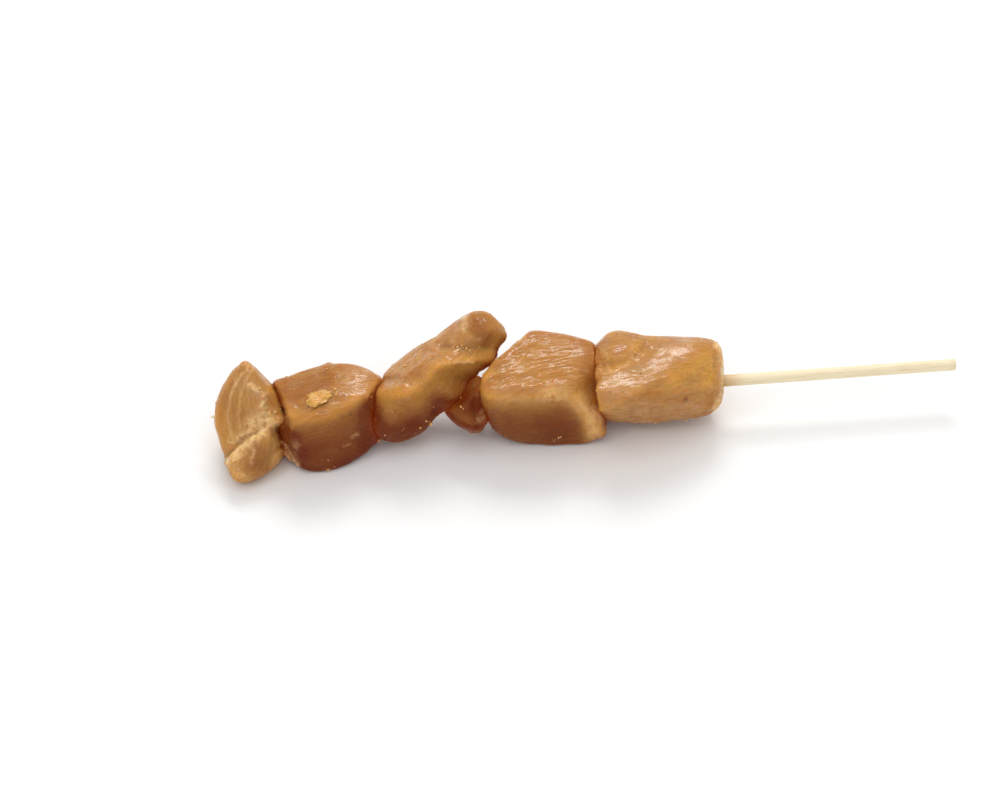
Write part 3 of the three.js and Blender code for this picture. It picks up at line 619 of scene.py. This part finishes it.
def build_chunk(chunk, mesh, broad_points, neighbours, profile, settings):
    """Turns the fine copy of a chunk into meat: pressed to its neighbours, uneven and coloured."""
    points, normals = read_points(mesh), read_normals(mesh)
    where = seen(points)
    facing = normals @ np.array(NEAR)
    grain = grain_of(chunk, where)
    marks = (*chunk.marks, *back_marks(chunk, where))
    ways, lengths = neighbour_gaps(points, neighbours, settings.pool)
    apart = lengths / MM
    bulge = ((points - broad_points) * normals).sum(axis=1) / MM
    up = normals[:, 2]

    # The marks follow their routes unevenly, as nothing on meat is ruled.
    ragged = where + 0.5 * np.stack([soft_noise(where, 1.7, chunk.seed + i) for i in (20, 30, 40)], axis=1)
    layers = {layer: np.clip(marked(marks, layer, ragged, facing), -1, 1) for layer in LAYERS}
    waves = soft_noise(where, settings.wave_size / MM, chunk.seed + 3)
    crumples = soft_noise(grain * (2, 1, 1), settings.crumple_size / MM, chunk.seed + 7)
    fibres = soft_noise(grain, settings.fibre_width / MM, chunk.seed)
    fibres += 0.5 * soft_noise(grain, settings.fibre_width / MM / 2, chunk.seed + 1)
    relief = marked(marks, "relief", ragged, facing)
    relief += waves * settings.wave_height / MM
    relief += crumples * settings.crumple_height / MM
    relief += fibres * (1 - 0.5 * layers["skin"]) * settings.fibre_height / MM
    relief *= smoothstep(apart, 0.2, 1.4) * smoothstep(points[:, 2] / MM, 0, 1.5)

    # Painted shade darkens the sides that turn to the table and the meat near a neighbouring chunk, where the
    # marinade also gathers and lies wetter. The hollows are found here and given painted shade in the
    # material.
    # Painted glow: light comes through the meat at its edges, high on the sides that turn to the table, and a
    # little near a neighbouring chunk.
    turned_down = 1 - smoothstep(up, -0.15, 0.7)
    high = smoothstep(points[:, 2] / MM, 9, 26)
    hollow = 0.5 * np.clip(-bulge / 0.7, 0, 1) + np.clip(-relief / 0.9, 0, 1)
    near_neighbour = 1 - smoothstep(apart, 0.1, settings.pool / MM)
    shaded = turned_down * (0.05 + chunk.tone) * (1 - 0.3 * high)
    shaded += near_neighbour * (0.3 + 0.4 * turned_down)
    layers["marinade_and_shade"] = np.clip(layers["marinade_and_shade"] + shaded, 0, 1)
    thin = smoothstep(bulge, 0.15, 0.8) * (0.25 + 0.4 * turned_down) + 0.3 * turned_down * high
    layers["amber"] = np.clip(layers["amber"] + thin + 0.15 * near_neighbour, 0, 1)
    layers["film"] = np.clip(layers["film"] + 0.5 * near_neighbour, 0, 1)
    layers["hollow"] = np.clip(hollow, 0, 1)
    # Painted glow: this layer lights the meat faintly near where two chunks meet.
    layers["seam"] = 1 - smoothstep(apart, 0.3, 4.5)
    layers["tone"] = np.clip(0.52 * chunk.tone + 0.2 * waves - 0.18 * fibres, 0, 1)

    steepness = settings.squeeze / (settings.squeeze - settings.touch)
    left = np.clip((lengths - settings.touch) * steepness, 0, lengths)
    points += ways * np.clip(1 - (left + SEAM_PLAY * MM) / np.maximum(lengths, 1e-9), 0, 1)[:, None]
    points += normals * (relief * MM)[:, None]
    hug_stick(points, profile)
    points[:, 2] = np.maximum(points[:, 2], 0)
    mesh.vertices.foreach_set("co", points.ravel())
    for name, values in layers.items():
        write_layer(mesh, name, values)
    write_layer(mesh, "grain", grain)
    mesh.shade_smooth()
    mesh.update()


def build_meat(settings, profile):
    copies = {chunk.node: fine_copy(chunk.node, settings) for chunk in CHUNKS}
    trees = {}
    for node, (mesh, _) in copies.items():
        points = read_points(mesh)
        trees[node] = (surface_tree(mesh), points.min(axis=0), points.max(axis=0))
    material = meat_material(settings)
    for chunk in CHUNKS:
        mesh, broad_points = copies[chunk.node]
        neighbours = [
            (*trees[other.node], chunk.give / (chunk.give + other.give))
            for other in CHUNKS if other != chunk]
        build_chunk(chunk, mesh, broad_points, neighbours, profile, settings)
        mesh.materials.clear()
        mesh.materials.append(material)
        piece = new_piece(chunk.node + "_meat", mesh)
        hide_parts(chunk.node)


# ----------------------------
# The crumbs.

def finished_mesh(bm, name, material):
    mesh = bpy.data.meshes.new(name)
    bm.to_mesh(mesh)
    bm.free()
    mesh.shade_smooth()
    mesh.materials.append(material)
    return mesh


def scatter(name, spots, radius, seed, material):
    """One piece of many small uneven lumps, each sunk a little in the meat at its spot."""
    dice = random.Random(seed)
    bm = bmesh.new()
    for spot, normal in spots:
        size = radius * dice.lognormvariate(0, 0.38)
        axes = [dice.uniform(0.8, 1.5), dice.uniform(0.7, 1.1), 0.75]
        turn = normal.to_track_quat("Z", "Y") @ Euler((0, 0, dice.uniform(0, math.tau))).to_quaternion()
        shape = Matrix.LocRotScale(spot + normal * size * 0.2, turn, Vector(axes) * size)
        lump = bmesh.ops.create_uvsphere(bm, u_segments=8, v_segments=5, radius=1, matrix=shape)
        for vert in lump["verts"]:
            vert.co += (vert.co - spot) * 0.4 * noise.noise(vert.co / size + spot / MM)
    new_piece(name, finished_mesh(bm, name, material))


def spots_on_meat(meshes, number, seed, gritty):
    """Places on the meat with their normals, drawn by lot. The more gritty, the more of them lie on grit."""
    dice = np.random.default_rng(seed)
    points, normals, chances = [], [], []
    for mesh in meshes:
        grit = np.empty(len(mesh.vertices))
        mesh.attributes["grit"].data.foreach_get("value", grit)
        points.append(read_points(mesh))
        normals.append(read_normals(mesh))
        patches = smoothstep(soft_noise(points[-1] / MM, 7, seed), 0.05, 0.5)
        chances.append(gritty * grit ** 2 + 0.003 + 0.015 * patches)
    points, normals, chances = (np.concatenate(part) for part in (points, normals, chances))

    # None lie by the stick or low down by the table.
    stick_off = np.hypot(*(points[:, 1:] - np.array(TIP)[1:]).T) / MM
    chances *= (stick_off > 4) * (points[:, 2] > 1.5 * MM)
    picks = dice.choice(len(points), size=number, replace=False, p=chances / chances.sum())
    return [(Vector(points[i]), Vector(normals[i])) for i in picks]


def foremost(trees, x, rise):
    """The place and normal of the meat that is seen at a spot of the view, out of the chunks given."""
    hits = [tree.ray_cast(place(x, rise, CLEAR_OF_MEAT), -NEAR) for tree in trees]
    hits = [hit for hit in hits if hit[0] is not None]
    if not hits:
        raise RuntimeError(f"There is no meat under ({x}, {rise}).")
    return min(hits, key=lambda hit: hit[3])[:2]


# The outline of the large flake of garlic, and the specks of pepper that stand out, on the view.
FLAKE_OUTLINE = (
    (31.8, 2.4), (33.1, 0.9), (36.0, 1.7), (38.8, 2.9), (40.3, 4.6), (38.6, 5.9), (35.3, 5.9), (32.4, 3.9))
FLAKE_SCRAPS = ((41.0, 5.0), (41.6, 4.3), (39.9, 6.5))
PEPPER_SPECKS = (
    (44.3, 4.0), (45.9, -2.3), (44.3, -5.1), (42.0, -11.5), (87.5, 12.1), (80.9, -1.5), (105.9, 10.3),
    (127.2, 1.5), (129.8, -2.4), (130.2, -1.0), (155.6, -5.1), (111.8, -15.6), (115.0, 9.3))


def build_flake(tree, settings, material):
    """A thin crumpled flake on the meat: a flattened ball drawn out to the outline, dropped and folded."""
    middle = np.mean(FLAKE_OUTLINE, axis=0)
    arms = np.array(FLAKE_OUTLINE) - middle
    angles = np.arctan2(arms[:, 1], arms[:, 0])
    bm = bmesh.new()
    bmesh.ops.create_icosphere(bm, subdivisions=6, radius=1)
    for vert in bm.verts:
        x, y, z = vert.co
        out = math.hypot(x, y)
        around = math.atan2(y, x)
        reach = np.interp(around, angles, np.hypot(*arms.T), period=math.tau)
        reach *= 1 + 0.2 * noise.noise((5 * math.cos(around), 5 * math.sin(around), 0))
        across, up = middle + np.array((x, y)) / max(out, 1e-6) * reach * out ** 0.8
        fold = 0.8 * noise.noise((across * 0.4 + up * 0.3, up * 0.9 - across * 0.4, 4))
        fold += 0.3 * abs(noise.noise((across * 1.1, up * 1.5, 8)))
        lift = 0.4 + fold - 0.25 * out ** 4 + 0.3 * z
        spot, normal = foremost([tree], across, up)
        vert.co = spot + (normal * 0.6 + NEAR * 0.4) * lift * settings.flake_height
    new_piece("garlic_flake", finished_mesh(bm, "garlic_flake", material))


def build_crumbs(settings):
    meshes = [bpy.data.objects[chunk.node + "_meat"].data for chunk in CHUNKS]
    trees = {chunk.node: surface_tree(mesh) for chunk, mesh in zip(CHUNKS, meshes)}
    block = trees["chunk_2_block"]
    garlic = crumb_material("garlic", settings.garlic_colour, 0.35)
    pepper = crumb_material("pepper", settings.pepper_colour, 0.0)
    flake = crumb_material("garlic_flake", settings.flake_colour, 0.5)
    grains = spots_on_meat(meshes, settings.garlic, 2, 1.0)
    grains += [foremost([block], x, rise) for x, rise in FLAKE_SCRAPS]
    specks = spots_on_meat(meshes, settings.pepper, 5, 0.3)
    specks += [foremost(trees.values(), x, rise) for x, rise in PEPPER_SPECKS]
    scatter("garlic_grains", grains, settings.garlic_radius, 7, garlic)
    scatter("pepper_specks", specks, settings.pepper_radius, 8, pepper)
    build_flake(block, settings, flake)


# ----------------------------
# Materials.

class Wiring:
    """A short way to add nodes to a material and join them."""

    def __init__(self, name):
        self.material = bpy.data.materials.new(name)
        self.material.use_nodes = True
        self.tree = self.material.node_tree
        self.shader = self.tree.nodes["Principled BSDF"]

    def add(self, kind, inputs=None, **settings):
        """A node with its settings, and its inputs as values or as sockets to join."""
        node = self.tree.nodes.new(kind)
        for name, value in settings.items():
            setattr(node, name, value)
        for name, value in (inputs or {}).items():
            self.feed(node.inputs[name], value)
        return node

    def feed(self, socket, value):
        if isinstance(value, bpy.types.NodeSocket):
            self.tree.links.new(value, socket)
        else:
            socket.default_value = value

    def spot(self):
        return self.add("ShaderNodeTexCoord").outputs["Object"]

    def attribute(self, name):
        return self.add("ShaderNodeAttribute", attribute_name=name)

    def math(self, operation, first, second, clamp=False):
        node = self.add("ShaderNodeMath", {0: first, 1: second}, operation=operation, use_clamp=clamp)
        return node.outputs[0]

    def times(self, first, second, clamp=False):
        return self.math("MULTIPLY", first, second, clamp)

    def less(self, first, second, clamp=False):
        return self.math("SUBTRACT", first, second, clamp)

    def total(self, *values, clamp=False):
        """The sum of all the values, held between 0 and 1 where it is clamped."""
        result = values[0]
        for value in values[1:]:
            result = self.math("ADD", result, value)
        result.node.use_clamp = clamp
        return result

    def blend(self, factor, first, second, mode="MIX"):
        node = self.add("ShaderNodeMix", data_type="RGBA", blend_type=mode)
        self.feed(node.inputs[0], factor)
        self.feed(node.inputs[6], first)
        self.feed(node.inputs[7], second)
        return node.outputs[2]

    def speckle(self, vector, scale, detail, rough=0.5):
        inputs = {"Vector": vector, "Scale": scale, "Detail": detail, "Roughness": rough}
        node = self.add("ShaderNodeTexNoise", inputs)
        return node.outputs["Fac"]

    def span(self, value, low, high, to_low=0.0, to_high=1.0):
        """The value's run from low to high, stretched to a new run and held at its ends."""
        node = self.add("ShaderNodeMapRange", {0: value, 1: low, 2: high, 3: to_low, 4: to_high},
                        interpolation_type="SMOOTHSTEP")
        return node.outputs[0]

    def translucent(self, weight, radius, scale):
        """Lets light through: how much, how far each of red, green and blue goes, and at what scale."""
        self.shader.inputs["Subsurface Weight"].default_value = weight
        self.shader.inputs["Subsurface Radius"].default_value = radius
        self.shader.inputs["Subsurface Scale"].default_value = scale


def rgba(values):
    return (*values, 1.0)


def meat_material(settings):
    w = Wiring("marinated_meat")
    spot = w.spot()
    grain = w.attribute("grain").outputs["Vector"]
    fat_and_highlight, skin, marinade_and_shade, amber, grit, film, hollow, tone, seam = (
        w.attribute(name).outputs["Fac"] for name in (*LAYERS, "hollow", "tone", "seam"))

    # Colour: the marinade's clouds and the fibres' streaks, then the marked places over them.
    clouds = w.speckle(spot, 120, 3, 0.6)
    streaks = w.speckle(grain, 1.1, 3, 0.6)
    hairs = w.speckle(grain, 2.8, 3, 0.65)
    stipple = w.speckle(spot, 1100, 2, 0.6)
    soaked = w.total(
        w.span(clouds, 0.35, 0.7, 0.1, 0.65), w.span(streaks, 0.38, 0.7, 0, 0.25),
        w.span(hairs, 0.35, 0.65, -0.08, 0.12), tone, clamp=True)
    base = w.blend(soaked, rgba(settings.lean), rgba(settings.rich))
    sinew = w.times(w.span(w.speckle(grain, 0.8, 4, 0.7), 0.6, 0.74), 0.22)
    base = w.blend(sinew, base, rgba(settings.skin))
    base = w.blend(w.times(amber, 0.75), base, rgba(settings.amber))
    # Painted shade: the darkening layer, broken by the clouds, turns the meat to the dark colour.
    deep = w.times(marinade_and_shade, w.span(clouds, 0.25, 0.7, 0.85, 1.0), clamp=True)
    base = w.blend(deep, base, rgba(settings.marinade_and_shade))
    # Real membrane and painted sheen: ragged pale patches of the skin colour.
    ragged_skin_and_sheen = w.times(skin, w.span(w.speckle(spot, 420, 4, 0.65), 0.3, 0.62), clamp=True)
    ragged_skin_and_sheen = w.times(ragged_skin_and_sheen, w.span(stipple, 0.4, 0.58, 0.5, 1.0))
    base = w.blend(ragged_skin_and_sheen, base, rgba(settings.skin))
    # Fat, and in a few places a painted highlight: ragged pale patches.
    ragged_fat_and_highlight = w.times(fat_and_highlight, w.span(w.speckle(spot, 650, 4, 0.65), 0.3, 0.58), clamp=True)
    base = w.blend(ragged_fat_and_highlight, base, rgba(settings.fat_and_highlight))
    # Painted shade: the hollows are drawn towards the rich colour, less so where the meat is already dark.
    sunken = w.less(w.times(hollow, 0.55), w.times(deep, 0.5), clamp=True)
    base = w.blend(sunken, base, rgba(settings.rich))

    # The wet film lies in ragged patches that the fibres break up, and is thinner where the meat is darkened
    # by marinade and painted shade.
    puddles = w.span(w.speckle(spot, 240, 5, 0.68), 0.42, 0.6)
    patches = w.total(puddles, w.times(film, 0.8), w.times(grit, 0.5))
    broken = w.span(w.speckle(grain, 1.7, 4, 0.7), 0.3, 0.6, 0.25, 1.0)
    wet = w.times(w.less(patches, deep), broken, clamp=True)

    # Relief: bundles of fibres, single fibres and pores, and the beads of skin and garlic.
    ripples = w.speckle(grain, 1.9, 3, 0.6)
    pores = w.speckle(spot, 1900, 2, 0.5)
    beads = w.times(stipple, w.total(w.times(skin, 0.9), w.times(grit, 0.7)))
    height = w.total(w.times(hairs, 0.45), w.times(pores, 0.2), streaks, w.times(ripples, 0.6), beads)
    bump = w.add("ShaderNodeBump", {"Strength": 0.9, "Distance": 0.0004, "Height": height})
    w.feed(w.shader.inputs["Base Color"], base)
    w.feed(w.shader.inputs["Roughness"], w.less(0.44, w.times(wet, 0.3)))
    w.feed(w.shader.inputs["Normal"], bump.outputs["Normal"])
    w.feed(w.shader.inputs["Coat Weight"], w.times(wet, 0.7))
    # Painted glow: a faint emission where two chunks meet.
    w.feed(w.shader.inputs["Emission Color"], w.blend(seam, (0, 0, 0, 1), rgba(settings.seam)))
    w.shader.inputs["Emission Strength"].default_value = 1.0
    w.shader.inputs["Coat Roughness"].default_value = 0.12
    w.shader.inputs["IOR"].default_value = 1.33
    w.shader.inputs["Specular IOR Level"].default_value = 0.25
    w.translucent(0.75, (1.0, 0.36, 0.13), 0.0035)
    return w.material


def crumb_material(name, colour_value, translucency):
    """Small hard bits under the marinade, more or less translucent."""
    w = Wiring(name)
    uneven = w.span(w.speckle(w.spot(), 600, 3, 0.6), 0.3, 0.7, 0.8, 1.1)
    shade = w.add("ShaderNodeCombineColor", {0: uneven, 1: uneven, 2: uneven}).outputs[0]
    w.feed(w.shader.inputs["Base Color"], w.blend(1.0, rgba(colour_value), shade, "MULTIPLY"))
    w.shader.inputs["Roughness"].default_value = 0.38
    w.shader.inputs["Coat Weight"].default_value = 0.6
    w.shader.inputs["Coat Roughness"].default_value = 0.1
    w.translucent(translucency, (1.0, 0.6, 0.3), 0.001)
    return w.material


def bamboo_material(settings):
    w = Wiring("bamboo")
    spot = w.spot()
    stretched = w.add("ShaderNodeMapping", {"Vector": spot, "Scale": (0.04, 1, 1)}).outputs["Vector"]
    fibre = w.speckle(stretched, 1 / settings.fibre_width, 3, 0.6)
    broad = w.speckle(stretched, 380, 2)
    streaks = w.times(w.span(fibre, 0.5, 0.72), w.span(broad, 0.35, 0.65, 0.3, 1.0))
    base = w.blend(streaks, rgba(settings.pale), rgba(settings.streak))

    # The marinade has soaked into the bamboo in the meat, and crept a little way out of its far end.
    x = w.add("ShaderNodeSeparateXYZ", {"Vector": spot}).outputs["X"]
    meat_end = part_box("chunk_6_roll")[1].x
    in_meat = w.times(
        w.span(x, meat_end - 1 * MM, meat_end + 9 * MM, 0.85, 0.0),
        w.span(x, STICK_LOW.x + 1.5 * MM, STICK_LOW.x + 4 * MM))
    soaked = w.times(in_meat, w.span(broad, 0.2, 0.7, 0.5, 1.0))
    base = w.blend(soaked, base, rgba(settings.soaked))
    bump = w.add("ShaderNodeBump", {"Strength": 0.4, "Distance": 0.0001, "Height": fibre})
    w.feed(w.shader.inputs["Base Color"], base)
    w.feed(w.shader.inputs["Roughness"], w.span(broad, 0.3, 0.7, 0.42, 0.6))
    w.feed(w.shader.inputs["Normal"], bump.outputs["Normal"])
    w.translucent(0.1, (1.0, 0.7, 0.4), 0.001)
    return w.material


def table_material(settings):
    w = Wiring("table")
    w.feed(w.shader.inputs["Base Color"], rgba(settings.table))
    w.shader.inputs["Roughness"].default_value = 0.7
    w.shader.inputs["Specular IOR Level"].default_value = 0.2
    return w.material


# ----------------------------
# The stick.

def build_stick(settings, material):
    """The profile spun about the stick's axis and roughened along its fibres."""
    bm = bmesh.new()
    verts = [bm.verts.new(TIP + Vector((x, 0, r))) for x, r in stick_profile(settings)]
    edges = [bm.edges.new(pair) for pair in zip(verts, verts[1:])]
    bmesh.ops.subdivide_edges(bm, edges=edges[1:4], cuts=6)
    bmesh.ops.subdivide_edges(bm, edges=edges[4:5], cuts=110)
    bmesh.ops.spin(
        bm, geom=bm.verts[:] + bm.edges[:], cent=TIP, axis=(1, 0, 0), angle=math.tau, steps=settings.sides,
        use_merge=True)
    bmesh.ops.remove_doubles(bm, verts=bm.verts, dist=0.001 * MM)
    bmesh.ops.recalc_face_normals(bm, faces=bm.faces)
    mesh = bpy.data.meshes.new("bamboo_stick")
    bm.to_mesh(mesh)
    bm.free()

    points, normals = read_points(mesh), read_normals(mesh)
    where = seen(points)
    stretched = where * (0.03, 1, 1)
    rough = 0.05 * soft_noise(stretched, 1.1, 5) + 0.03 * soft_noise(stretched, 0.45, 9)
    inside = smoothstep(where[:, 0], 0, 2) * smoothstep(-where[:, 0], -STICK_LENGTH, 1 - STICK_LENGTH)
    points += normals * ((rough - 0.03) * inside * MM)[:, None]
    mesh.vertices.foreach_set("co", points.ravel())
    mesh.shade_smooth()
    mesh.update()
    mesh.materials.append(material)
    piece = new_piece("bamboo_stick", mesh)
    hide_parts("stick")


# ----------------------------
# The stage.

# The point that the camera looks at and the lights face, in millimetres from the stick's point.
AIM = Vector((95.81, 0.565, -2.213))
TABLE_RADIUS = 4


def build_table(settings):
    bm = bmesh.new()
    bmesh.ops.create_circle(bm, cap_ends=True, segments=64, radius=TABLE_RADIUS)
    mesh = bpy.data.meshes.new("table")
    bm.to_mesh(mesh)
    bm.free()
    mesh.materials.append(table_material(settings))
    table = bpy.data.objects.new("table", mesh)
    bpy.context.scene.collection.objects.link(table)


def add_softbox(name, azimuth, elevation, distance, size, power, target):
    """A rectangular light that faces the target. Azimuth 0 is in front of the skewer and 180 behind it."""
    light = bpy.data.lights.new(name, "AREA")
    light.shape = "RECTANGLE"
    light.size, light.size_y = size
    light.energy = power
    lamp = bpy.data.objects.new(name, light)
    bpy.context.scene.collection.objects.link(lamp)
    a, e = math.radians(azimuth), math.radians(elevation)
    away = Vector((math.sin(a) * math.cos(e), -math.cos(a) * math.cos(e), math.sin(e)))
    lamp.location = target + away * distance
    lamp.rotation_euler = away.to_track_quat("Z", "Y").to_euler()


def add_camera(settings, target):
    camera = bpy.data.objects.new("camera", bpy.data.cameras.new("camera"))
    bpy.context.scene.collection.objects.link(camera)
    camera.data.lens = settings.lens
    camera.data.sensor_width = 36
    camera.data.clip_start = 0.01
    camera.rotation_euler = Euler((math.pi / 2 - settings.elevation, 0, settings.azimuth))
    back = camera.rotation_euler.to_matrix() @ Vector((0, 0, 1))
    camera.location = target + back * settings.distance
    bpy.context.scene.camera = camera


def set_sky(brightness):
    world = bpy.data.worlds.new("sky")
    world.use_nodes = True
    background = world.node_tree.nodes["Background"]
    background.inputs["Color"].default_value = (1, 1, 1, 1)
    background.inputs["Strength"].default_value = brightness
    bpy.context.scene.world = world
    bpy.context.scene.view_settings.view_transform = "Standard"


# ----------------------------
# The add-on.

class SKEWER_OT_stick(bpy.types.Operator):
    """Make the bamboo stick"""

    bl_idname = "skewer.stick"
    bl_label = "Bamboo Stick"

    def execute(self, context):
        settings = context.scene.skewer_bamboo
        build_stick(settings, bamboo_material(settings))
        return {"FINISHED"}


class SKEWER_OT_meat(bpy.types.Operator):
    """Make the chunks of marinated meat"""

    bl_idname = "skewer.meat"
    bl_label = "Marinated Meat"

    def execute(self, context):
        build_meat(context.scene.skewer_meat, stick_profile(context.scene.skewer_bamboo))
        return {"FINISHED"}


class SKEWER_OT_crumbs(bpy.types.Operator):
    """Strew the garlic and the pepper on the meat"""

    bl_idname = "skewer.crumbs"
    bl_label = "Garlic and Pepper"

    def execute(self, context):
        if any(chunk.node + "_meat" not in bpy.data.objects for chunk in CHUNKS):
            raise RuntimeError("The meat comes before the crumbs")
        build_crumbs(context.scene.skewer_crumbs)
        return {"FINISHED"}


class SKEWER_OT_stage(bpy.types.Operator):
    """Set the table, the lights and the camera"""

    bl_idname = "skewer.stage"
    bl_label = "Table, Light and Camera"

    def execute(self, context):
        settings = context.scene.skewer_stage
        target = TIP + AIM * MM
        build_table(settings)
        add_softbox("window", 172, 48, 1.6, (0.65, 0.5), settings.key_power, target)
        add_softbox("overhead", 0, 78, 1.8, (1.6, 1.6), settings.fill_power, target)
        add_softbox("lamp_behind", 150, 56, 1.3, (0.2, 0.2), settings.glint_power, target)
        add_softbox("lamp_left", -60, 45, 1.3, (0.16, 0.16), settings.glint_power, target)
        set_sky(settings.sky)
        add_camera(settings, target)
        return {"FINISHED"}


class SKEWER_PT_panel(bpy.types.Panel):
    """The skewer's tools"""

    bl_idname = "SKEWER_PT_panel"
    bl_label = "Souvlaki Skewer"
    bl_space_type = "VIEW_3D"
    bl_region_type = "UI"
    bl_category = "Skewer"

    def draw(self, context):
        for settings, operator in (
                (context.scene.skewer_bamboo, SKEWER_OT_stick),
                (context.scene.skewer_meat, SKEWER_OT_meat),
                (context.scene.skewer_crumbs, SKEWER_OT_crumbs),
                (context.scene.skewer_stage, SKEWER_OT_stage)):
            box = self.layout.box()
            for name in settings.__annotations__:
                box.prop(settings, name)
            box.operator(operator.bl_idname)


SETTINGS = {
    "skewer_bamboo": BambooSettings, "skewer_meat": MeatSettings, "skewer_crumbs": CrumbSettings,
    "skewer_stage": StageSettings,
}
CLASSES = (
    *SETTINGS.values(), SKEWER_OT_stick, SKEWER_OT_meat, SKEWER_OT_crumbs, SKEWER_OT_stage, SKEWER_PT_panel)


def register():
    for cls in CLASSES:
        bpy.utils.register_class(cls)
    for name, cls in SETTINGS.items():
        setattr(bpy.types.Scene, name, PointerProperty(type=cls))


def unregister():
    for name in SETTINGS:
        delattr(bpy.types.Scene, name)
    for cls in reversed(CLASSES):
        bpy.utils.unregister_class(cls)


def main():
    register()
    bpy.ops.skewer.stick()
    bpy.ops.skewer.meat()
    bpy.ops.skewer.crumbs()
    bpy.ops.skewer.stage()


if __name__ == "__main__":
    main()
